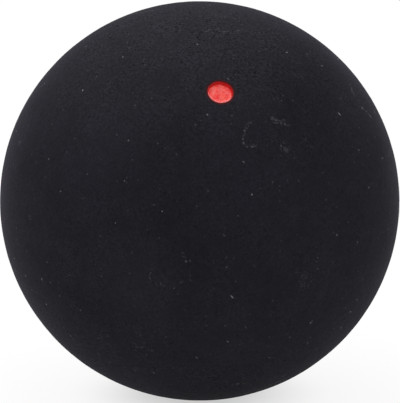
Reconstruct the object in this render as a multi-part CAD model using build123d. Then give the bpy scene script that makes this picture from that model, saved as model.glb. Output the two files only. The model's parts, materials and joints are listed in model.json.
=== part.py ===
from build123d import *
from math import cos, radians, sin, sqrt, tan
import os

# A squash ball: two moulded rubber half shells cemented rim to rim round the equator,
# with one coloured dot painted into a small pit in the upper half.
# Millimetres and degrees. The origin is the ball's centre, +Z is up and square to the seam,
# and the dot looks towards -Y and up.

# Ball
BALL_DIAMETER = 40.0
WALL = 5.0

# Cement that joins the rims: a thin film, and the bead squeezed out of it inside
BOND_FILM = 0.12
BEAD_HALF_WIDTH = 0.8
BEAD_PROUD = 0.3

# Pit that holds the dot: a shallow dish, whose draft is the slope of its wall from the dot's axis
DOT_LATITUDE = 45.0
PIT_DIAMETER = 2.6
PIT_DEPTH = 0.42
PIT_DRAFT = 35.0
PIT_FLOOR_RADIUS = 0.2
PIT_LIP_RADIUS = 0.15

# Paint that lines the pit and rolls a little way over its lip
PAINT_FLOOR = 0.12
PAINT_WALL = 0.08
PAINT_CORNER_RADIUS = 0.3
PAINT_LIP_RADIUS = 0.1
PAINT_EDGE_DROP = 0.03

BALL_RADIUS = BALL_DIAMETER / 2
CAVITY_RADIUS = BALL_RADIUS - WALL
PIT_RADIUS = PIT_DIAMETER / 2

UPPER_RIM = Plane.XY.offset(BOND_FILM / 2)
LOWER_RIM = Plane.XY.offset(-BOND_FILM / 2)

DOT_DIRECTION = Vector(0, -cos(radians(DOT_LATITUDE)), sin(radians(DOT_LATITUDE)))
DOT_AXIS = Axis((0, 0, 0), DOT_DIRECTION)
DOT_PLANE = Plane(origin=(0, 0, 0), x_dir=(1, 0, 0), z_dir=DOT_DIRECTION)


def hollow_ball():
    """The whole wall of the ball, before it is parted at the seam."""
    return Sphere(BALL_RADIUS) - Sphere(CAVITY_RADIUS)


def plain_half_shell():
    """A half shell as it leaves the mould, with a flat rim for the cement."""
    return split(hollow_ball(), UPPER_RIM, keep=Keep.TOP)


def sink_pit(shell, mouth_radius, depth, floor_radius, lip_radius):
    """Sink a tapered pit into a shell at the dot, with a rounded floor edge and a rounded lip."""
    standing = (Align.CENTER, Align.CENTER, Align.MIN)
    floor = BALL_RADIUS - depth
    rise = sqrt(BALL_RADIUS**2 - mouth_radius**2) - floor
    flare = rise * tan(radians(PIT_DRAFT))
    plug = Pos(0, 0, floor) * Cone(mouth_radius - flare, mouth_radius + flare, 2 * rise, align=standing)
    plug = fillet(plug.edges().sort_by(Axis.Z)[0], floor_radius)
    pitted = shell - DOT_PLANE * plug
    lip = pitted.edges().sort_by(DOT_AXIS)[-1]
    return fillet(lip, lip_radius)


def half_shell_with_pit():
    """The half shell that carries the dot."""
    return sink_pit(plain_half_shell(), PIT_RADIUS, PIT_DEPTH, PIT_FLOOR_RADIUS, PIT_LIP_RADIUS)


def seam_cement():
    """The cured cement: a film as wide as the wall, with its bead inside the ball."""
    film = split(split(hollow_ball(), UPPER_RIM, keep=Keep.BOTTOM), LOWER_RIM, keep=Keep.TOP)
    foot = sqrt(CAVITY_RADIUS**2 - BEAD_HALF_WIDTH**2)
    rise = foot - (CAVITY_RADIUS - BEAD_PROUD)
    section_radius = (BEAD_HALF_WIDTH**2 + rise**2) / (2 * rise)
    ring_radius = CAVITY_RADIUS - BEAD_PROUD + section_radius
    bead = Torus(ring_radius, section_radius) & Sphere(CAVITY_RADIUS)
    return film + bead


def paint_in_pit(pitted_shell):
    """The paint: a thin cup on the pit's floor and wall, ending on the rounded lip."""
    coated = sink_pit(
        plain_half_shell(),
        PIT_RADIUS - PAINT_WALL,
        PIT_DEPTH - PAINT_FLOOR,
        PAINT_CORNER_RADIUS,
        PAINT_LIP_RADIUS,
    )
    around_pit = DOT_PLANE * Pos(0, 0, BALL_RADIUS) * Cylinder(PIT_RADIUS + PIT_LIP_RADIUS, 4 * PIT_DEPTH)
    below_lip = around_pit & Sphere(BALL_RADIUS - PAINT_EDGE_DROP)
    return (below_lip - pitted_shell) & coated


dotted_half = half_shell_with_pit()
nodes = {
    "upper_half_shell": dotted_half,
    "lower_half_shell": mirror(plain_half_shell(), about=Plane.XY),
    "seam_cement": seam_cement(),
    "dot_paint": paint_in_pit(dotted_half),
}

os.makedirs("parts", exist_ok=True)
for name, shape in nodes.items():
    export_step(shape, f"parts/{name}.step")
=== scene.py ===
"""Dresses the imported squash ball: buffed rubber halves, cement seam, red dot and a white stage."""

import json
import math

import bmesh
import bpy
from bpy.props import FloatProperty, FloatVectorProperty, IntProperty, PointerProperty
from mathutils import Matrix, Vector, noise


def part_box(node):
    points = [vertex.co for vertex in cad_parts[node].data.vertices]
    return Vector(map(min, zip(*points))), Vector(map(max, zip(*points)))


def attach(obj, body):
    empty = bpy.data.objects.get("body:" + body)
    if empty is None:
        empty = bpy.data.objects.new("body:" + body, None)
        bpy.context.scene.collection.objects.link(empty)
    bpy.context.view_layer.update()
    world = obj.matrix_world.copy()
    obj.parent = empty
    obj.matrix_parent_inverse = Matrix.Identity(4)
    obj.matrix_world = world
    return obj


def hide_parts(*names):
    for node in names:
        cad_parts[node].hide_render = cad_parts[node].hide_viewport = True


bl_info = {
    "name": "Squash Ball",
    "version": (1, 0, 0),
    "blender": (4, 5, 0),
    "location": "3D View > Sidebar > Squash Ball",
    "description": "Builds the looks of a squash ball around its packed solids",
    "category": "Object",
}

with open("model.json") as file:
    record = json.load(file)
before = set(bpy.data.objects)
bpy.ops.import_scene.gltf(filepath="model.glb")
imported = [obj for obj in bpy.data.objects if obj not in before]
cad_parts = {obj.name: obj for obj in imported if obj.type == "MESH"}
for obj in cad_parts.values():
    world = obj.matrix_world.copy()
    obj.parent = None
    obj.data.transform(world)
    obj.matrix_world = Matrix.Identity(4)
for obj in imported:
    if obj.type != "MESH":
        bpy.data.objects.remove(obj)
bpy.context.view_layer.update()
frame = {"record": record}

MM = 0.001
BODY = "root"
CONTACT = next(mount for mount in frame["record"]["mounts"] if mount["name"] == "ground_contact")
BALL_RADIUS = CONTACT["dims"]["r_mm"] * MM
RIM_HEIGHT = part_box("upper_half_shell")[0].z
DOT_DIRECTION = sum(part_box("dot_paint"), Vector((0, 0, 0))).normalized()

# The photograph's frame, in pixels, with the ball's radius and centre in it
PHOTO_WIDTH = 400
PHOTO_HEIGHT = 403
PHOTO_BALL_RADIUS = 199.7
PHOTO_BALL_CENTRE = (199.7, 200.9)

# Points closer than this are one point, and edges bent more than this stay sharp
MERGE_DISTANCE = 0.0001 * MM
SHARP_ANGLE = math.radians(40)

# Across the dot: right and up as the camera sees it
DOT_RIGHT = Vector((1, 0, 0))
DOT_UP = DOT_DIRECTION.cross(DOT_RIGHT)

# The plain ball starts at this many times the angle of the pit's lip
MOUTH_MARGIN = 1.12

# The unevenness that buffing leaves grows to its full height over this share of that angle
BUFF_FADE = 0.3

# How quickly the pit's outline strays round it
WOBBLE_RATE = 2.3

# Where the paint's floor is deepest, right and up, and the share of its thickness where lumps start
LEAN_TOWARDS = Vector((0.6, 0.8, 0))
LUMP_START = 2 / 7

# Steps along a stretch of the pit's profile, and of the paint's free side, edge and held side
PIT_STEPS = 8
PAINT_STEPS = 10
PAINT_EDGE_STEPS = 3
HELD_STEPS = 6

# Steps along the cement's section: its outer edge, its film, the flanks of its bead, and the bead
EDGE_STEPS = 2
FILM_STEPS = 6
FLANK_STEPS = 3
BEAD_STEPS = 10

# A round spot is at full strength within this share of its radius, and a scuff's line of its width
SPOT_CORE = 0.3
SCUFF_CORE = 0.2

# How rare strong spots are among faint ones: 1 for evenly mixed, more for fewer strong ones
PORE_RARITY = 1.0
DUST_RARITY = 1.5
SMUDGE_RARITY = 3.0
FLECK_RARITY = 5.0
LINT_RARITY = 6.0

# Size of the raggedness of pores and flecks in pore radii, and the stray of a scuff in bend radii
RAGGED_SIZE = 1.5
SCUFF_STRAY = 1.6

# How the two sets of lint lie: their turns about X, Y and Z, and their shift
LINT_LIES = (((0.4, 0.9, 0.2), 3.0 * MM), ((1.3, 0.3, 1.1), 7.0 * MM))

# Noise from and up to which the rubber turns rough, a scuff shows, and its grit shows
ROUGH_RISE = (0.38, 0.62)
SCUFF_RISE = (0.45, 0.57)
GRIT_RISE = (0.46, 0.68)

# Square of the height in ball radii, up or down, from and up to which the grain grows
POLE_RISE = (0.10, 0.90)

# Share of the pores left at the seam, tone of the smoothest grain, and swing of the gloss with it
PORES_AT_SEAM = 0.35
GRAIN_LEAST = 0.5
GRAIN_GLOSS = 1.6

# Relief of the nap, the pores and the pale marks, where the grain's is 1
NAP_RELIEF = 0.4
PORE_RELIEF = 0.8
MARK_RELIEF = 0.4

# Noise from and up to which the paint's floor turns dusty and chalky
DUSTY_RISE = (0.40, 0.60)
CHALKY_RISE = (0.45, 0.70)

# How much the skin frays the dust, and how ragged the edge of the dusty floor is, where the paint's
# edge is 1; past that edge the wall's darker red is painted shade
DUST_FRAY = 0.25
DUSTY_LIT_RAGGED = 2

# Least strength of the dust and of the painted highlight on the lower rim, and how much the skin
# adds to it
DUST_LEAST = 0.8
DUST_SKIN = 0.4
RIM_HIGHLIGHT_LEAST = 0.40
RIM_HIGHLIGHT_SKIN = 0.65

# Shares of the pit's radius from and up to which the paint is on the lower side, and is its rim, for
# the painted highlight there
HIGHLIGHT_SIDE_RISE = (0.0, 0.5)
HIGHLIGHT_RIM_RISE = (0.68, 0.86)

# Distances from the paint's edge, in thicknesses of its wall, from and up to which it thins out
THIN_RISE = (1.6, 0.5)

# Least gloss of the paint, and the share of its gloss that is left on its wall
GLOSS_LEAST = 0.5
WALL_GLOSS = 0.15

FLOOR_SEGMENTS = 96
CLIP_START = 0.01


def length(name, description, default):
    """A length that a user would change, in metres."""
    return FloatProperty(
        name=name, description=description, default=default, min=0, precision=5, unit="LENGTH"
    )


def share(name, description, default):
    """A number from 0 to 1 that a user would change."""
    return FloatProperty(
        name=name, description=description, default=default, min=0, max=1, subtype="FACTOR"
    )


def strength(name, description, default):
    """A number of 0 or more that a user would change."""
    return FloatProperty(name=name, description=description, default=default, min=0)


def angle(name, description, degrees):
    """An angle that a user would change, given in degrees."""
    return FloatProperty(
        name=name, description=description, default=math.radians(degrees), subtype="ANGLE"
    )


def colour(name, description, default):
    """A linear colour that a user would change."""
    return FloatVectorProperty(
        name=name, description=description, default=default, size=3, min=0, max=1, subtype="COLOR"
    )


def count(name, description, default, most):
    """A whole number that a user would change."""
    return IntProperty(name=name, description=description, default=default, min=3, max=most)


class BallShape(bpy.types.PropertyGroup):
    """Sizes of the rubber wall, the cement and the pit that holds the dot."""

    wall: length("Wall", "Thickness of the rubber", 5.0 * MM)
    bead_half_width: length("Bead half width", "Reach of the bead each side of the seam", 0.8 * MM)
    bead_proud: length("Bead height", "How far the cement bead stands into the hollow", 0.3 * MM)
    pit_radius: length("Pit radius", "Radius of the pit's mouth", 1.30 * MM)
    pit_depth: length("Pit depth", "Depth of the pit below the ball's surface", 0.42 * MM)
    pit_draft: angle("Pit draft", "Slope of the pit's wall from the dot's axis", 35.0)
    pit_floor_radius: length("Pit floor rounding", "Rounding between pit floor and wall", 0.2 * MM)
    pit_lip_radius: length("Pit lip rounding", "Rounding of the pit's edge", 0.15 * MM)
    pit_wobble: length("Pit wobble", "How far the pit's outline strays from a circle", 0.08 * MM)
    outer_fineness: count("Outer fineness", "Subdivisions of the outer surface", 8, 8)
    inner_fineness: count("Inner fineness", "Subdivisions of the hollow's surface", 6, 8)
    seam_segments: count("Seam segments", "Segments of cement round the seam", 720, 1440)
    pit_segments: count("Pit segments", "Segments round the pit and the dot", 128, 512)


class RubberFinish(bpy.types.PropertyGroup):
    """Colour and buffed grain of the rubber."""

    base: colour("Rubber", "Colour of the clean rubber", (0.0129, 0.0120, 0.0166))
    fleck: colour("Fleck", "Colour of dust and lint caught in the grain", (0.22, 0.22, 0.23))
    roughness: share("Roughness", "Roughness of the buffed surface", 0.70)
    gloss: share("Gloss", "Share of the surface that buffing left smooth", 0.090)
    gloss_roughness: share("Gloss roughness", "Roughness of the smooth share", 0.5)
    sheen: share("Sheen", "Strength of the sheen of the buffed nap", 0.055)
    sheen_roughness: share("Sheen roughness", "Spread of the sheen in from the edge", 0.3)
    sheen_tint: colour("Sheen tint", "Colour of the sheen", (0.84, 0.80, 1.0))
    swell_size: length("Swell size", "Size of the slow unevenness left by buffing", 2.4 * MM)
    swell_height: length("Swell height", "Height of the slow unevenness", 0.012 * MM)
    nap_size: length("Nap size", "Size of the buffed nap", 0.75 * MM)
    nap_height: length("Nap height", "Height of the buffed nap", 0.008 * MM)
    grain_size: length("Grain size", "Size of the finest grain", 0.24 * MM)
    grain_height: length("Grain height", "Height of the finest grain", 0.02 * MM)
    blotch_size: length("Blotch size", "Size of the rough blotches, with their pores", 2.6 * MM)
    patch_size: length("Patch size", "Size of the patches in which the finish varies", 8.0 * MM)
    pore_spacing: length("Pore spacing", "Mean distance between pores in the rubber", 0.62 * MM)
    pore_radius: length("Pore radius", "Radius of the largest pore", 0.17 * MM)
    fleck_spacing: length("Fleck spacing", "Mean distance between flecks in the rubber", 1.25 * MM)
    fleck_radius: length("Fleck radius", "Radius of the largest fleck", 0.13 * MM)
    dust_spacing: length("Dust spacing", "Mean distance between grains of dust", 0.90 * MM)
    lint_spacing: length("Lint spacing", "Mean distance between lint, across it", 1.15 * MM)
    lint_radius: length("Lint radius", "Radius of the thickest lint", 0.09 * MM)
    lint_length: length("Lint length", "Length of the longest lint", 0.7 * MM)
    scuff_spacing: length("Scuff spacing", "Mean distance between scuffs", 9.0 * MM)
    scuff_radius: length("Scuff radius", "Radius of the largest scuff's bend", 2.3 * MM)
    scuff_width: length("Scuff width", "Width of a scuff's line", 0.26 * MM)
    smudge_spacing: length("Smudge spacing", "Mean distance between smudges", 12.6 * MM)
    smudge_radius: length("Smudge radius", "Radius of the largest smudge", 1.61 * MM)
    # A pore's darker colour is painted shade in the pit
    pore: share("Pore", "How much darker the strongest pore is", 0.9)
    dust: share("Dust", "Strength of the strongest grain of dust", 0.18)
    scuff: share("Scuff", "Strength of the strongest scuff", 0.50)
    smudge: share("Smudge", "How much paler the strongest smudge is", 0.6)
    patch_tone: strength("Patch tone", "How much the patches vary the colour", 0.75)
    blotch_tone: strength("Blotch tone", "How much the blotches vary the colour", 0.40)
    nap_tone: strength("Nap tone", "How much the nap varies the colour", 0.35)
    seam_tone: strength("Seam tone", "How much the grain varies the colour near the seam", 1.0)
    pole_tone: strength("Pole tone", "How much the grain varies the colour at top and foot", 3.2)


class DotFinish(bpy.types.PropertyGroup):
    """Sizes and colour of the paint in the pit."""

    # Darker than the floor's red: painted shade on the pit's wall
    base: colour("Red", "Colour of the paint on the pit's wall", (0.52, 0.005, 0.004))
    fresh: colour("Fresh red", "Colour of the paint's floor between the dust", (0.82, 0.014, 0.012))
    worn: colour("Dusty red", "Colour of the paint's floor where it is dusty", (0.90, 0.070, 0.048))
    thin: colour("Thin red", "Colour where the paint is thin over the rubber", (0.10, 0.006, 0.008))
    # Partly a painted highlight along the lower rim, partly pale chalky patches on the floor
    chalk_and_highlight: colour("Chalky red", "Colour of the dust in the paint's lower rim", (0.90, 0.26, 0.25))
    stain: colour("Stain", "Colour of the rubber where paint ran out", (0.050, 0.007, 0.008))
    roughness: share("Roughness", "Roughness of the dried paint", 0.55)
    roughness_spread: share("Roughness spread", "How much the roughness varies", 0.16)
    specular: share("Specular", "Reflection of the paint below its gloss", 0.1)
    gloss: share("Gloss", "Share of the paint that dried glossy", 0.5)
    gloss_roughness: share("Gloss roughness", "Roughness of the glossy share", 0.28)
    floor: length("Paint floor", "Thickness of the paint on the pit's floor", 0.12 * MM)
    wall: length("Paint wall", "Thickness of the paint on the pit's wall", 0.08 * MM)
    corner_radius: length("Paint corner", "Rounding of the paint in the pit's corner", 0.3 * MM)
    lip_radius: length("Paint lip", "Rounding of the paint over the pit's edge", 0.1 * MM)
    edge_drop: length("Paint edge", "How far below the ball's surface the paint ends", 0.03 * MM)
    lump_size: length("Lump size", "Size of the lumps in the dried paint", 0.42 * MM)
    lump_height: length("Lump height", "Height of the lumps in the dried paint", 0.05 * MM)
    skin_size: length("Skin size", "Size of the fine wrinkles of the paint", 0.18 * MM)
    skin_height: length("Skin height", "Height of the fine wrinkles of the paint", 0.015 * MM)
    mottle_size: length("Mottle size", "Size of the dusty patches on the paint", 0.90 * MM)
    chalk_size: length("Chalk size", "Size of the chalky patches on the paint's floor", 0.50 * MM)
    chalk_floor: share("Chalk floor", "Strength of the chalky patches on the paint's floor", 0.30)
    # The dusty middle is also the lit floor; outside it the wall's darker red is painted shade
    dusty_lit_radius: length("Dust radius", "Radius of the dusty middle of the paint", 1.12 * MM)
    dusty_lit_fade: length("Dust fade", "Reach of the dusty middle's edge, in and out", 0.048 * MM)
    dusty_lit_left: length("Dust left", "How far left of the axis the dusty middle lies", 0.05 * MM)
    dusty_lit_down: length("Dust down", "How far below the axis the dusty middle lies", 0.11 * MM)
    # Where the painted highlight along the lower rim lies
    highlight_angle: angle("Chalk angle", "Middle of the chalky rim, round from the dot's right", 255.0)
    stain_radius: length("Stain radius", "Radius of the stain round the pit", 1.52 * MM)
    stain_fade: length("Stain fade", "Width over which the stain fades", 0.22 * MM)
    lean: length("Lean", "How much deeper the paint is at its upper right", 0.06 * MM)


class StageSettings(bpy.types.PropertyGroup):
    """Camera, softbox, room light and floor."""

    azimuth: angle("Azimuth", "Camera angle round the ball", -8.13)
    elevation: angle("Elevation", "Camera angle above the floor", 13.56)
    distance: length("Distance", "From the camera to the ball's centre", 0.40)
    sensor: FloatProperty(
        name="Sensor", description="Width of the camera's sensor, in mm", default=36.0, min=1
    )
    softbox_size: length("Softbox", "Side of the square softbox overhead", 1.00)
    softbox_height: length("Softbox height", "Height of the softbox above the ball's centre", 0.50)
    softbox_left: length("Softbox left", "How far the softbox hangs to the left", 0.20)
    softbox_back: length("Softbox back", "How far the softbox hangs behind the ball", 0.30)
    softbox_power: FloatProperty(
        name="Softbox power", description="Power of the softbox", default=5.2, min=0, unit="POWER"
    )
    ambient: share("Ambient", "Strength of the room's own light", 0.50)
    floor_colour: colour("Floor", "Colour of the floor", (0.94, 0.94, 0.94))
    foot_glow: share("Foot glow", "How far the floor under the ball is lifted to white", 0.50)
    floor_glow: share("Floor glow", "How far the floor beside the ball is lifted to white", 0.90)
    shadow_reach: FloatVectorProperty(
        name="Shadow reach",
        description="Distances from the ball's foot where the floor glows and where it is white",
        default=(0.014, 0.40),
        size=2,
        min=0,
        unit="LENGTH",
    )
    floor_radius: length("Floor radius", "Radius of the floor", 3.0)


class SquashBallSettings(bpy.types.PropertyGroup):
    """All settings of the squash ball."""

    shape: PointerProperty(type=BallShape)
    rubber: PointerProperty(type=RubberFinish)
    dot: PointerProperty(type=DotFinish)
    stage: PointerProperty(type=StageSettings)


class Signal:
    """One output socket of a material. Arithmetic on it adds Math nodes to that material."""

    def __init__(self, sheet, socket):
        self.sheet = sheet
        self.socket = socket

    def math(self, operation, first, second):
        return self.sheet.add("ShaderNodeMath", {"operation": operation}, {0: first, 1: second})

    def __add__(self, other):
        return self.math("ADD", self, other)

    def __sub__(self, other):
        return self.math("SUBTRACT", self, other)

    def __rsub__(self, other):
        return self.math("SUBTRACT", other, self)

    def __mul__(self, other):
        return self.math("MULTIPLY", self, other)

    def __pow__(self, other):
        return self.math("POWER", self, other)

    __radd__ = __add__
    __rmul__ = __mul__


class NodeSheet:
    """The node tree of one material or world, filled by add()."""

    def __init__(self, tree):
        self.tree = tree
        tree.nodes.clear()

    def add(self, kind, settings=None, inputs=None, output=0):
        """Add a node with its settings, fill its sockets with values or links, give an output."""
        node = self.tree.nodes.new(kind)
        for name, value in (settings or {}).items():
            setattr(node, name, value)
        for name, value in (inputs or {}).items():
            if isinstance(value, Signal):
                self.tree.links.new(value.socket, node.inputs[name])
            else:
                node.inputs[name].default_value = value
        return Signal(self, node.outputs[output]) if len(node.outputs) else None

    def place(self):
        """Where a point of the surface is, in the ball's frame."""
        return self.add("ShaderNodeTexCoord", output="Object")

    def noise(self, place, size, detail=2.0, roughness=0.5):
        """Noise from 0 to 1 whose features have a size in metres."""
        values = {"Vector": place, "Scale": 1 / size, "Detail": detail, "Roughness": roughness}
        return self.add("ShaderNodeTexNoise", {}, values, "Fac")

    def step(self, value, low, high):
        """A smooth step from 0 at one value to 1 at another."""
        values = {"Value": value, "From Min": low, "From Max": high}
        return self.add("ShaderNodeMapRange", {"interpolation_type": "SMOOTHSTEP"}, values)

    def blend(self, factor, first, second):
        """A colour that goes from the first to the second with a factor."""
        values = {"Factor": factor, 6: first, 7: second}
        return self.add("ShaderNodeMix", {"data_type": "RGBA"}, values, 2)

    def bump(self, relief, height):
        """The surface's normal with a relief from 0 to 1 raised to a height in metres."""
        return self.add("ShaderNodeBump", {}, {"Distance": height, "Height": relief})

    def shaken(self, place, size, reach):
        """A place moved about at random, so that round spots come out ragged."""
        values = {"Vector": place, "Scale": 1 / size, "Detail": 1.0}
        shift = self.add("ShaderNodeTexNoise", {}, values, "Color")
        values = {0: shift, 1: (reach, reach, reach), 2: place}
        return self.add("ShaderNodeVectorMath", {"operation": "MULTIPLY_ADD"}, values, "Vector")

    def vector(self, operation, first, second, output="Vector"):
        """A vector, or a number as the Value output, worked out from two vectors."""
        values = {0: first, 1: second}
        return self.add("ShaderNodeVectorMath", {"operation": operation}, values, output)

    def scaled(self, vector, factor):
        """A vector or a colour times a number."""
        values = {0: vector, "Scale": factor}
        return self.add("ShaderNodeVectorMath", {"operation": "SCALE"}, values, "Vector")

    def away(self, place, centre):
        """How far a place is from a centre."""
        return self.vector("DISTANCE", place, tuple(centre), "Value")

    def along(self, place, direction):
        """How far a place lies along a direction."""
        return self.vector("DOT_PRODUCT", place, tuple(direction), "Value")

    def larger(self, first, second):
        """The larger of two values."""
        return self.add("ShaderNodeMath", {"operation": "MAXIMUM"}, {0: first, 1: second})

    def background_rays(self):
        """1 for the rays that show the background: those of the camera, and of gloss and glass."""
        rays = [
            self.add("ShaderNodeLightPath", output=name)
            for name in ("Is Camera Ray", "Is Glossy Ray", "Is Transmission Ray")
        ]
        return self.larger(self.larger(rays[0], rays[1]), rays[2])


def new_material(name):
    """An empty material and its node sheet."""
    material = bpy.data.materials.new(name)
    material.use_nodes = True
    return material, NodeSheet(material.node_tree)


def opaque(value):
    """A property's colour with full alpha, as a node's socket takes it."""
    return (*value, 1.0)


def scattered_cells(sheet, place, spacing):
    """Cells at random places: the distance to a cell's middle, and its own number from 0 to 1."""
    settings = {"feature": "F1"}
    inputs = {"Vector": place, "Scale": 1 / spacing}
    distance = sheet.add("ShaderNodeTexVoronoi", settings, inputs, "Distance") * spacing
    cell = sheet.add("ShaderNodeTexVoronoi", settings, inputs, "Color")
    return distance, sheet.add("ShaderNodeSeparateColor", {}, {0: cell}, "Red")


def scattered_spots(sheet, place, spacing, radius, rarity):
    """Round spots at random places, a few of them strong and most faint: strength from 0 to 1."""
    distance, chance = scattered_cells(sheet, place, spacing)
    return (1 - sheet.step(distance, radius * SPOT_CORE, radius)) * chance**rarity


def scuffs(sheet, place, finish, grit):
    """Faint gritty marks along ragged lines, where the ball was rubbed: strength from 0 to 1."""
    strayed = sheet.shaken(place, finish.scuff_radius, finish.scuff_radius * SCUFF_STRAY)
    distance, chance = scattered_cells(sheet, strayed, finish.scuff_spacing)
    off_line = distance - finish.scuff_radius
    off_line = sheet.add("ShaderNodeMath", {"operation": "ABSOLUTE"}, {0: off_line})
    line = 1 - sheet.step(off_line, finish.scuff_width * SCUFF_CORE, finish.scuff_width)
    broken = sheet.step(sheet.noise(place, finish.scuff_radius, detail=1.0), *SCUFF_RISE)
    return line * broken * sheet.step(grit, *GRIT_RISE) * chance


def lint(sheet, place, finish, turn, shift):
    """Thin lint that all lies one way: strength from 0 to 1."""
    lie = sheet.add(
        "ShaderNodeMapping",
        {"vector_type": "TEXTURE"},
        {
            "Vector": place,
            "Location": (shift, 0, 0),
            "Rotation": turn,
            "Scale": (finish.lint_length / finish.lint_radius / 2, 1, 1),
        },
    )
    return scattered_spots(sheet, lie, finish.lint_spacing, finish.lint_radius, LINT_RARITY)


def pale_marks(sheet, place, ragged, grain, finish):
    """All that is paler than the rubber: flecks, dust, scuffs and lint. Strength from 0 to 1."""
    marks = scattered_spots(sheet, ragged, finish.fleck_spacing, finish.fleck_radius, FLECK_RARITY)
    dust = scattered_spots(sheet, place, finish.dust_spacing, finish.fleck_radius, DUST_RARITY)
    marks = sheet.larger(marks, dust * finish.dust)
    marks = sheet.larger(marks, scuffs(sheet, place, finish, grain) * finish.scuff)
    for turn, shift in LINT_LIES:
        marks = sheet.larger(marks, lint(sheet, place, finish, turn, shift))
    return marks


def stained(sheet, place, shade, dot):
    """A colour of the rubber, reddened just outside the pit, where the paint ran over the lip."""
    out = sheet.away(place, DOT_DIRECTION * BALL_RADIUS)
    out = out + (sheet.noise(place, dot.mottle_size) - 0.5) * dot.stain_fade
    clean = sheet.step(out, dot.stain_radius - dot.stain_fade, dot.stain_radius)
    return sheet.blend(clean, opaque(dot.stain), shade)


def rubber_material(name, finish, dot=None):
    """Buffed black rubber: a fine nap with pores darkened as painted shade in the pits, and pale
    marks, stained round a dot if any.
    """
    material, sheet = new_material(name)
    place = sheet.place()
    grain = sheet.noise(place, finish.grain_size, detail=3.0, roughness=0.7)
    nap = sheet.noise(place, finish.nap_size)
    blotch = sheet.noise(place, finish.blotch_size)
    patch = sheet.noise(place, finish.patch_size, detail=3.0)
    rough = sheet.step(blotch, *ROUGH_RISE)
    height = sheet.along(place, (0, 0, 1 / BALL_RADIUS))
    near_pole = sheet.step(height * height, *POLE_RISE)
    ragged = sheet.shaken(place, finish.pore_radius * RAGGED_SIZE, finish.pore_radius)
    pores = scattered_spots(sheet, ragged, finish.pore_spacing, finish.pore_radius, PORE_RARITY)
    pores = pores * rough * (PORES_AT_SEAM + (1 - PORES_AT_SEAM) * near_pole)
    # Pores darken the colour and gloss: painted shade in the pits
    pore_shading = 1 - finish.pore * pores
    marks = pale_marks(sheet, place, ragged, grain, finish)
    smudges = scattered_spots(
        sheet, place, finish.smudge_spacing, finish.smudge_radius, SMUDGE_RARITY
    )

    clouds = (patch - 0.5) * finish.patch_tone + (blotch - 0.5) * finish.blotch_tone
    grain_tone = finish.seam_tone + (finish.pole_tone - finish.seam_tone) * near_pole
    fine = (nap - 0.5) * finish.nap_tone + (grain - 0.5) * grain_tone * (GRAIN_LEAST + rough)
    tone = sheet.larger(1 + clouds + fine + smudges * finish.smudge, 0) * pore_shading
    shade = sheet.blend(marks, sheet.scaled(tuple(finish.base), tone), opaque(finish.fleck))
    if dot:
        shade = stained(sheet, place, shade, dot)
    relief = grain + nap * NAP_RELIEF - pores * PORE_RELIEF + marks * MARK_RELIEF
    shader = sheet.add(
        "ShaderNodeBsdfPrincipled",
        {},
        {
            "Base Color": shade,
            "Roughness": finish.roughness,
            "Specular IOR Level": 0.0,
            "Coat Weight": finish.gloss * (1 + (grain - 0.5) * GRAIN_GLOSS) * pore_shading,
            "Coat Roughness": finish.gloss_roughness,
            "Sheen Weight": finish.sheen,
            "Sheen Roughness": finish.sheen_roughness,
            "Sheen Tint": opaque(finish.sheen_tint),
            "Normal": sheet.bump(relief, finish.grain_height),
        },
    )
    sheet.add("ShaderNodeOutputMaterial", {}, {"Surface": shader})
    return material


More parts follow.
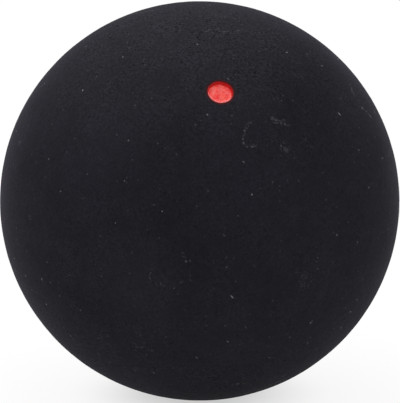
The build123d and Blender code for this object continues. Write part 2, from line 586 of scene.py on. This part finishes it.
def paint_material(name, finish, edge):
    """Dried red paint: mottled floor, deep red wall with painted shade, a painted highlight along
    the rim low down, and a thin edge.
    """
    material, sheet = new_material(name)
    place = sheet.place()
    on_axis = sheet.scaled(tuple(DOT_DIRECTION), sheet.along(place, DOT_DIRECTION))
    across = sheet.vector("SUBTRACT", place, on_axis)
    mottle = sheet.noise(place, finish.mottle_size)
    skin = sheet.noise(place, finish.skin_size)
    ragged = (mottle - 0.5) * finish.wall
    out = sheet.away(across, (0, 0, 0)) + ragged

    # Inside the dusty, lit middle the floor is pale red; outside it the wall's darker red is painted
    # shade
    dusty_lit_middle = -finish.dusty_lit_left * DOT_RIGHT - finish.dusty_lit_down * DOT_UP
    from_dusty_lit_middle = sheet.away(across, dusty_lit_middle) + ragged * DUSTY_LIT_RAGGED
    fade = finish.dusty_lit_fade
    dusty_lit_floor = 1 - sheet.step(from_dusty_lit_middle, finish.dusty_lit_radius - fade, finish.dusty_lit_radius + fade)
    dusty = sheet.step(mottle + (skin - 0.5) * DUST_FRAY, *DUSTY_RISE)
    dusty = dusty * (DUST_LEAST + DUST_SKIN * skin)
    # A pale rim on the lower side: a painted highlight, merged with pale patches on the floor
    highlight_side = DOT_RIGHT * math.cos(finish.highlight_angle) + DOT_UP * math.sin(finish.highlight_angle)
    low = sheet.step(sheet.along(place, highlight_side / edge), *HIGHLIGHT_SIDE_RISE)
    rim = sheet.step(out, *(edge * radii for radii in HIGHLIGHT_RIM_RISE)) * low
    patches = sheet.step(sheet.noise(place, finish.chalk_size), *CHALKY_RISE) * dusty_lit_floor
    chalk_and_highlight = sheet.larger(rim * (RIM_HIGHLIGHT_LEAST + RIM_HIGHLIGHT_SKIN * skin), patches * finish.chalk_floor)
    thin = sheet.step(out, *(edge - finish.wall * walls for walls in THIN_RISE))
    shade = sheet.blend(dusty, opaque(finish.fresh), opaque(finish.worn))
    shade = sheet.blend(dusty_lit_floor, opaque(finish.base), shade)
    shade = sheet.blend(chalk_and_highlight, shade, opaque(finish.chalk_and_highlight))
    shade = sheet.blend(thin, shade, opaque(finish.thin))
    gloss = finish.gloss * (GLOSS_LEAST + skin + rim) * (1 - thin)
    shader = sheet.add(
        "ShaderNodeBsdfPrincipled",
        {},
        {
            "Base Color": shade,
            "Roughness": finish.roughness + (mottle - 0.5) * finish.roughness_spread,
            "Specular IOR Level": finish.specular,
            "Coat Weight": gloss * (WALL_GLOSS + (1 - WALL_GLOSS) * dusty_lit_floor),
            "Coat Roughness": finish.gloss_roughness,
            "Normal": sheet.bump(skin + mottle, finish.skin_height),
        },
    )
    sheet.add("ShaderNodeOutputMaterial", {}, {"Surface": shader})
    return material


def floor_material(name, stage):
    """A pale floor that keeps the ball's shadow near it and goes to plain white further out."""
    material, sheet = new_material(name)
    away = sheet.away(sheet.place(), (0, 0, -BALL_RADIUS))
    under, far = stage.shadow_reach
    near_glow = stage.foot_glow + sheet.step(away, 0, under) * (stage.floor_glow - stage.foot_glow)
    glow = near_glow + sheet.step(away, under, far) * (1 - stage.floor_glow)
    matt = sheet.add("ShaderNodeBsdfDiffuse", {}, {"Color": opaque(stage.floor_colour)})
    white = sheet.add("ShaderNodeEmission", {}, {"Strength": 1.0})
    surface = sheet.add(
        "ShaderNodeMixShader", {}, {"Fac": sheet.background_rays() * glow, 1: matt, 2: white}
    )
    sheet.add("ShaderNodeOutputMaterial", {}, {"Surface": surface})
    return material


def room_world(name, stage):
    """A dim even room light, seen as plain white."""
    world = bpy.data.worlds.new(name)
    world.use_nodes = True
    sheet = NodeSheet(world.node_tree)
    level = stage.ambient + sheet.background_rays() * (1 - stage.ambient)
    sky = sheet.add("ShaderNodeBackground", {}, {"Color": opaque((1, 1, 1)), "Strength": level})
    sheet.add("ShaderNodeOutputWorld", {}, {"Surface": sky})
    return world


def start_at(bm, radius, height):
    """Start a profile in the XZ plane, at a radius from the axis and a height along it."""
    return bm.verts.new((radius, 0, height))


def line_to(bm, point, radius, height, steps):
    """Carry a profile's last point along a straight line."""
    stride = (Vector((radius, 0, height)) - point.co) / steps
    for _ in range(steps):
        point = bmesh.ops.extrude_vert_indiv(bm, verts=[point])["verts"][0]
        bmesh.ops.translate(bm, verts=[point], vec=stride)
    return point


def arc_about(bm, point, centre, turn, steps):
    """Carry a profile's last point round a centre, from the axis outwards for a positive turn."""
    swung = bmesh.ops.spin(
        bm, geom=[point], cent=(centre[0], 0, centre[1]), axis=(0, 1, 0), angle=turn, steps=steps
    )
    return next(item for item in swung["geom_last"] if isinstance(item, bmesh.types.BMVert))


def settle_order(bm):
    """Sort edges and faces by their points, since a spin makes them in no set order."""
    bm.verts.index_update()
    total = len(bm.verts)

    def rank(item):
        numbers = [vert.index for vert in item.verts]
        return min(numbers) * total + max(numbers)

    bm.edges.sort(key=rank)
    bm.faces.sort(key=rank)


def turn_profile(bm, segments):
    """Spin a profile a full turn about Z, and close it where it meets itself or the axis."""
    bmesh.ops.remove_doubles(bm, verts=bm.verts[:], dist=MERGE_DISTANCE)
    bmesh.ops.spin(
        bm,
        geom=bm.verts[:] + bm.edges[:],
        cent=(0, 0, 0),
        axis=(0, 0, 1),
        angle=math.tau,
        steps=segments,
        use_merge=True,
    )
    bmesh.ops.remove_doubles(bm, verts=bm.verts[:], dist=MERGE_DISTANCE)
    settle_order(bm)


def face_dot(bm):
    """Turn a shape made about Z so that it lies about the dot's axis."""
    turn = Vector((0, 0, 1)).rotation_difference(DOT_DIRECTION).to_matrix()
    bmesh.ops.rotate(bm, verts=bm.verts[:], cent=(0, 0, 0), matrix=turn)


def cut_away(bm, point, normal):
    """Cut a shape by a plane, and take away the side that the plane's normal points to."""
    bmesh.ops.bisect_plane(
        bm,
        geom=bm.verts[:] + bm.edges[:] + bm.faces[:],
        dist=MERGE_DISTANCE,
        plane_co=point,
        plane_no=normal,
        clear_outer=True,
    )


def open_edges(bm, on_rim):
    """The open edges of a shape that lie in the rim's plane, or those that don't."""
    return [
        edge
        for edge in bm.edges
        if edge.is_boundary
        and all(abs(abs(vert.co.z) - RIM_HEIGHT) < MERGE_DISTANCE for vert in edge.verts) == on_rim
    ]


def absorb(bm, other):
    """Move another bmesh's shape into this one."""
    mesh = bpy.data.meshes.new("absorbed")
    other.to_mesh(mesh)
    other.free()
    bm.from_mesh(mesh)
    bpy.data.meshes.remove(mesh)


class PitProfile:
    """Profile of a tapered pit: flat floor, rounded corner, sloping wall and a lip on the ball."""

    def __init__(self, mouth, depth, draft, corner, lip):
        self.corner = corner
        self.lip = lip
        self.slope = math.pi / 2 - draft
        self.floor = BALL_RADIUS - depth
        mouth_height = math.sqrt(BALL_RADIUS**2 - mouth**2)
        foot = mouth - (mouth_height - self.floor) * math.tan(draft)
        self.flat = foot - corner * math.tan(self.slope / 2)
        along = Vector((math.sin(draft), math.cos(draft)))
        beside = Vector((math.cos(draft), -math.sin(draft)))
        self.corner_centre = Vector((self.flat, self.floor + corner))
        self.wall_foot = self.corner_centre + beside * corner
        # The lip's centre lies on a line beside the wall, and its radius below the ball's surface
        start = Vector((mouth, mouth_height)) + beside * lip
        ahead = start.dot(along)
        shift = math.sqrt(ahead**2 - start.length_squared + (BALL_RADIUS - lip) ** 2) - ahead
        self.lip_centre = start + along * shift
        self.wall_top = self.lip_centre - beside * lip
        self.meets = math.atan2(*self.lip_centre)

    def lip_turn(self, drop):
        """How far round its lip the profile goes up to a given drop below the ball's surface."""
        inner = BALL_RADIUS - self.lip
        reach = BALL_RADIUS - drop
        short = math.acos((reach**2 - inner**2 - self.lip**2) / (2 * self.lip * inner))
        return self.slope + self.meets - short

    def lip_point(self, drop):
        """The lip's point that is a given drop below the ball's surface."""
        tilt = self.lip_turn(drop) - self.slope
        return self.lip_centre + Vector((math.sin(tilt), math.cos(tilt))) * self.lip

    def draw_out(self, bm, drop, steps):
        """Draw the profile from the axis out to a drop on the lip, and give its last point."""
        point = start_at(bm, 0, self.floor)
        point = line_to(bm, point, self.flat, self.floor, steps * 2)
        point = arc_about(bm, point, self.corner_centre, -self.slope, steps)
        point = line_to(bm, point, *self.wall_top, steps // 2)
        return arc_about(bm, point, self.lip_centre, self.lip_turn(drop), steps)

    def draw_in(self, bm, point, drop, steps):
        """Carry a profile's last point, which is at a drop on the lip, back in to the axis."""
        point = arc_about(bm, point, self.lip_centre, -self.lip_turn(drop), steps)
        point = line_to(bm, point, *self.wall_foot, steps // 2)
        point = arc_about(bm, point, self.corner_centre, self.slope, steps)
        line_to(bm, point, 0, self.floor, steps * 2)

    def height(self, out):
        """Height of the floor, or of the wall, at a distance from the axis."""
        return max(self.floor, self.wall_foot.y + (out - self.wall_foot.x) * math.tan(self.slope))


def rubber_pit(shape):
    """Profile of the pit in the rubber."""
    return PitProfile(
        shape.pit_radius,
        shape.pit_depth,
        shape.pit_draft,
        shape.pit_floor_radius,
        shape.pit_lip_radius,
    )


def painted_pit(shape, dot):
    """Profile of the pit once it is lined with paint."""
    return PitProfile(
        shape.pit_radius - dot.wall,
        shape.pit_depth - dot.floor,
        shape.pit_draft,
        dot.corner_radius,
        dot.lip_radius,
    )


def mouth_angle(shape):
    """Angle from the dot's axis to where the plain ball starts, just past the pit's lip."""
    return rubber_pit(shape).meets * MOUTH_MARGIN


def clamped(value):
    """A value kept from 0 to 1."""
    return min(max(value, 0.0), 1.0)


def wobble_pit(bm, shape):
    """Make a pit or its paint, about Z, a little out of round."""
    for vert in bm.verts:
        out = Vector((vert.co.x, vert.co.y, 0))
        if out.length > MERGE_DISTANCE:
            stray = noise.noise(out.normalized() * WOBBLE_RATE) * shape.pit_wobble
            vert.co += out.normalized() * stray * clamped(out.length / shape.pit_radius) ** 2


def buffed_height(place, finish):
    """How far the buffed rubber stands above or below a true ball."""
    swell = noise.noise(place / finish.swell_size) * finish.swell_height
    nap = noise.noise(place / finish.nap_size) * finish.nap_height
    return swell + nap


def buff(bm, finish, clear_angle):
    """Give the outer surface its buffed unevenness, which dies out at the lip of the pit."""
    fade = clear_angle * BUFF_FADE
    for vert in bm.verts:
        if vert.co.length > BALL_RADIUS - MERGE_DISTANCE:
            weight = (vert.co.angle(DOT_DIRECTION) - clear_angle) / fade
            height = buffed_height(vert.co, finish) * clamped(weight)
            vert.co += vert.co.normalized() * height


def shade_smooth(bm):
    """Shade a shape smoothly, with its sharp edges kept."""
    for face in bm.faces:
        face.smooth = True
    for edge in bm.edges:
        edge.smooth = edge.calc_face_angle(0.0) < SHARP_ANGLE


def place_piece(name, bm, material, node):
    """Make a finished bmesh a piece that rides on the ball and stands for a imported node."""
    bmesh.ops.recalc_face_normals(bm, faces=bm.faces[:])
    shade_smooth(bm)
    mesh = bpy.data.meshes.new(name)
    bm.to_mesh(mesh)
    bm.free()
    mesh.materials.append(material)
    piece = bpy.data.objects.new(name, mesh)
    bpy.context.scene.collection.objects.link(piece)
    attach(piece, BODY)
    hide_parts(node)


def ball_surface(radius, fineness, side):
    """An even spherical surface, kept above the seam for side 1 and below it for side -1."""
    bm = bmesh.new()
    bmesh.ops.create_icosphere(bm, subdivisions=fineness, radius=radius)
    cut_away(bm, (0, 0, side * RIM_HEIGHT), (0, 0, -side))
    return bm


def close_wall(bm, shape, side):
    """Give a half of the ball's outer surface its hollow, and fill the flat rim between the two."""
    absorb(bm, ball_surface(BALL_RADIUS - shape.wall, shape.inner_fineness, side))
    bmesh.ops.triangle_fill(bm, edges=open_edges(bm, True), use_beauty=True, normal=(0, 0, -side))


def pit_surface(shape):
    """The pit from its floor to the edge of its lip, about the dot's axis."""
    bm = bmesh.new()
    rubber_pit(shape).draw_out(bm, 0, PIT_STEPS)
    turn_profile(bm, shape.pit_segments)
    wobble_pit(bm, shape)
    face_dot(bm)
    return bm


def cement_ring(shape):
    """The film between the rims, with its bead inside the ball."""
    bm = bmesh.new()
    hollow = BALL_RADIUS - shape.wall
    half = shape.bead_half_width
    foot = math.sqrt(hollow**2 - half**2)
    rise = foot - (hollow - shape.bead_proud)
    section = (half**2 + rise**2) / (2 * rise)
    ring = hollow - shape.bead_proud + section
    outer_tilt = math.asin(RIM_HEIGHT / BALL_RADIUS)
    flank = math.asin(half / hollow) - math.asin(RIM_HEIGHT / hollow)
    point = start_at(bm, BALL_RADIUS * math.cos(outer_tilt), -RIM_HEIGHT)
    point = arc_about(bm, point, (0, 0), -2 * outer_tilt, EDGE_STEPS)
    point = line_to(bm, point, math.sqrt(hollow**2 - RIM_HEIGHT**2), RIM_HEIGHT, FILM_STEPS)
    point = arc_about(bm, point, (0, 0), -flank, FLANK_STEPS)
    point = arc_about(bm, point, (ring, 0), -2 * math.asin(half / section), BEAD_STEPS)
    point = arc_about(bm, point, (0, 0), -flank, FLANK_STEPS)
    line_to(bm, point, BALL_RADIUS * math.cos(outer_tilt), -RIM_HEIGHT, FILM_STEPS)
    turn_profile(bm, shape.seam_segments)
    return bm


def paint_cup(shape, dot):
    """The paint: a thin cup that lines the pit and ends on its lip, about Z."""
    bm = bmesh.new()
    held = rubber_pit(shape)
    point = painted_pit(shape, dot).draw_out(bm, dot.edge_drop, PAINT_STEPS)
    point = line_to(bm, point, *held.lip_point(dot.edge_drop), PAINT_EDGE_STEPS)
    held.draw_in(bm, point, dot.edge_drop, HELD_STEPS)
    turn_profile(bm, shape.pit_segments)
    return bm


def roughen_paint(bm, shape, dot):
    """Raise lumps in the paint's free side, about Z, and leave the side that the pit holds."""
    held = rubber_pit(shape)
    for vert in bm.verts:
        out = math.hypot(vert.co.x, vert.co.y)
        free = clamped((shape.pit_radius - dot.wall / 2 - out) / dot.wall)
        height = (vert.co.z - held.height(out)) / dot.floor
        above = clamped((height - LUMP_START) / (1 - LUMP_START))
        lump = noise.noise(vert.co / dot.lump_size) * dot.lump_height
        lean = vert.co.dot(LEAN_TOWARDS) / shape.pit_radius * dot.lean
        vert.co.z += (lump - lean) * free * above


def settings():
    """The scene's squash ball settings."""
    return bpy.context.scene.squash_ball


class SQUASHBALL_OT_upper_half(bpy.types.Operator):
    """Build the upper rubber half shell, with the pit for the dot"""

    bl_idname = "squash_ball.upper_half"
    bl_label = "Upper Half Shell"

    def execute(self, context):
        shape, finish = settings().shape, settings().rubber
        mouth = mouth_angle(shape)
        bm = ball_surface(BALL_RADIUS, shape.outer_fineness, 1)
        cut_away(bm, DOT_DIRECTION * BALL_RADIUS * math.cos(mouth), DOT_DIRECTION)
        absorb(bm, pit_surface(shape))
        bmesh.ops.bridge_loops(bm, edges=open_edges(bm, False))
        close_wall(bm, shape, 1)
        buff(bm, finish, mouth)
        rubber = rubber_material("buffed_rubber_upper", finish, settings().dot)
        place_piece("upper_rubber_half", bm, rubber, "upper_half_shell")
        return {"FINISHED"}


class SQUASHBALL_OT_lower_half(bpy.types.Operator):
    """Build the plain lower rubber half shell"""

    bl_idname = "squash_ball.lower_half"
    bl_label = "Lower Half Shell"

    def execute(self, context):
        shape, finish = settings().shape, settings().rubber
        bm = ball_surface(BALL_RADIUS, shape.outer_fineness, -1)
        close_wall(bm, shape, -1)
        buff(bm, finish, mouth_angle(shape))
        rubber = rubber_material("buffed_rubber_lower", finish)
        place_piece("lower_rubber_half", bm, rubber, "lower_half_shell")
        return {"FINISHED"}


class SQUASHBALL_OT_seam(bpy.types.Operator):
    """Build the cement that joins the half shells"""

    bl_idname = "squash_ball.seam"
    bl_label = "Seam Cement"

    def execute(self, context):
        shape, finish = settings().shape, settings().rubber
        bm = cement_ring(shape)
        buff(bm, finish, mouth_angle(shape))
        cement = rubber_material("cured_cement", finish)
        place_piece("cement_ring", bm, cement, "seam_cement")
        return {"FINISHED"}


class SQUASHBALL_OT_dot(bpy.types.Operator):
    """Build the red paint in the pit"""

    bl_idname = "squash_ball.dot"
    bl_label = "Red Dot"

    def execute(self, context):
        shape, dot = settings().shape, settings().dot
        bm = paint_cup(shape, dot)
        roughen_paint(bm, shape, dot)
        wobble_pit(bm, shape)
        face_dot(bm)
        paint = paint_material("dried_red_paint", dot, shape.pit_radius)
        place_piece("red_dot", bm, paint, "dot_paint")
        return {"FINISHED"}


class SQUASHBALL_OT_stage(bpy.types.Operator):
    """Build the floor, the softbox, the room light and the camera"""

    bl_idname = "squash_ball.stage"
    bl_label = "Stage"

    def execute(self, context):
        stage = settings().stage
        scene = context.scene
        scene.view_settings.view_transform = "Standard"
        scene.world = room_world("room", stage)
        self.lay_floor(scene, stage)
        self.hang_softbox(scene, stage)
        self.set_camera(scene, stage)
        return {"FINISHED"}

    def lay_floor(self, scene, stage):
        """Lay a round floor under the ball."""
        bm = bmesh.new()
        bmesh.ops.create_circle(
            bm, cap_ends=True, segments=FLOOR_SEGMENTS, radius=stage.floor_radius
        )
        bmesh.ops.translate(bm, verts=bm.verts[:], vec=(0, 0, -BALL_RADIUS))
        mesh = bpy.data.meshes.new("floor")
        bm.to_mesh(mesh)
        bm.free()
        mesh.materials.append(floor_material("pale_floor", stage))
        floor = bpy.data.objects.new("floor", mesh)
        scene.collection.objects.link(floor)

    def hang_softbox(self, scene, stage):
        """Hang a square softbox above the ball, a little to the left."""
        lamp = bpy.data.lights.new("softbox", "AREA")
        lamp.shape = "SQUARE"
        lamp.size = stage.softbox_size
        lamp.energy = stage.softbox_power
        softbox = bpy.data.objects.new("softbox", lamp)
        softbox.location = (-stage.softbox_left, stage.softbox_back, stage.softbox_height)
        scene.collection.objects.link(softbox)

    def set_camera(self, scene, stage):
        """Set the camera at the photograph's angle, with the ball as large as in its frame."""
        level = math.cos(stage.elevation)
        direction = Vector(
            (
                math.sin(stage.azimuth) * level,
                -math.cos(stage.azimuth) * level,
                math.sin(stage.elevation),
            )
        )
        data = bpy.data.cameras.new("camera")
        long_side = max(PHOTO_WIDTH, PHOTO_HEIGHT)
        tangent_length = math.sqrt(stage.distance**2 - BALL_RADIUS**2)
        focal_pixels = PHOTO_BALL_RADIUS * tangent_length / BALL_RADIUS
        data.sensor_width = stage.sensor
        data.lens = focal_pixels * stage.sensor / long_side
        data.shift_x = (PHOTO_WIDTH / 2 - PHOTO_BALL_CENTRE[0]) / long_side
        data.shift_y = (PHOTO_BALL_CENTRE[1] - PHOTO_HEIGHT / 2) / long_side
        data.clip_start = CLIP_START
        camera = bpy.data.objects.new("camera", data)
        camera.location = direction * stage.distance
        camera.rotation_euler = direction.to_track_quat("Z", "Y").to_euler()
        scene.collection.objects.link(camera)
        scene.camera = camera


OPERATORS = (
    SQUASHBALL_OT_upper_half,
    SQUASHBALL_OT_lower_half,
    SQUASHBALL_OT_seam,
    SQUASHBALL_OT_dot,
    SQUASHBALL_OT_stage,
)


class SQUASHBALL_PT_pieces(bpy.types.Panel):
    """Lists the squash ball's pieces and their settings"""

    bl_idname = "SQUASHBALL_PT_pieces"
    bl_label = "Squash Ball"
    bl_space_type = "VIEW_3D"
    bl_region_type = "UI"
    bl_category = "Squash Ball"

    def draw(self, context):
        layout = self.layout
        for operator in OPERATORS:
            layout.operator(operator.bl_idname)
        for group in (settings().shape, settings().rubber, settings().dot, settings().stage):
            box = layout.box()
            for name in group.__annotations__:
                box.prop(group, name)


GROUPS = (BallShape, RubberFinish, DotFinish, StageSettings, SquashBallSettings)
CLASSES = (*GROUPS, *OPERATORS, SQUASHBALL_PT_pieces)


def register():
    for kind in CLASSES:
        bpy.utils.register_class(kind)
    bpy.types.Scene.squash_ball = PointerProperty(type=SquashBallSettings)


def unregister():
    del bpy.types.Scene.squash_ball
    for kind in reversed(CLASSES):
        bpy.utils.unregister_class(kind)


def main():
    register()
    bpy.ops.squash_ball.stage()
    bpy.ops.squash_ball.upper_half()
    bpy.ops.squash_ball.lower_half()
    bpy.ops.squash_ball.seam()
    bpy.ops.squash_ball.dot()


if __name__ == "__main__":
    main()
